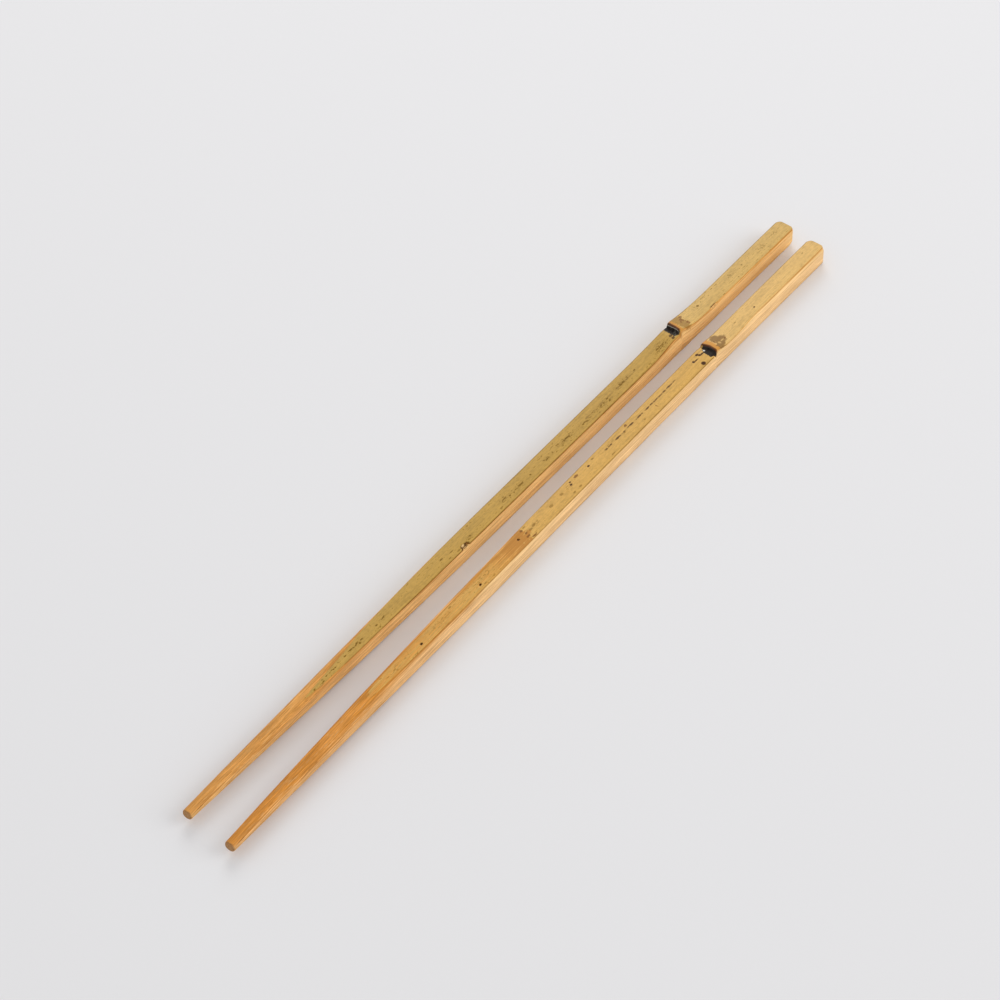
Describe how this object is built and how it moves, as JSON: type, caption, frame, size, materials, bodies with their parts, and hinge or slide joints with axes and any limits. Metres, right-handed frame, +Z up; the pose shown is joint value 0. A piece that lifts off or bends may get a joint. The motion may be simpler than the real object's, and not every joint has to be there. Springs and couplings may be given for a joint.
{
  "type": "pair of chopsticks",
  "caption": "Pair of slender bamboo chopsticks with square shafts, a raised culm node near the handle end and long tapers whittled to round tips, lying side by side.",
  "frame": {"origin": "on the surface that the pair lies on, under the middle of the pair", "axes": "+X along the sticks towards the handle ends, +Y towards the left stick, +Z up out of the skin side"},
  "size_m": [0.2414, 0.0169, 0.0065],
  "materials": {
    "left_bamboo": "oiled bamboo, greenish skin, orange cut sides",
    "right_bamboo": "oiled bamboo, yellow skin, orange cut sides"
  },
  "bodies": {
    "root": {"left_chopstick": "left_bamboo", "right_chopstick": "right_bamboo"}
  },
  "joints": []
}
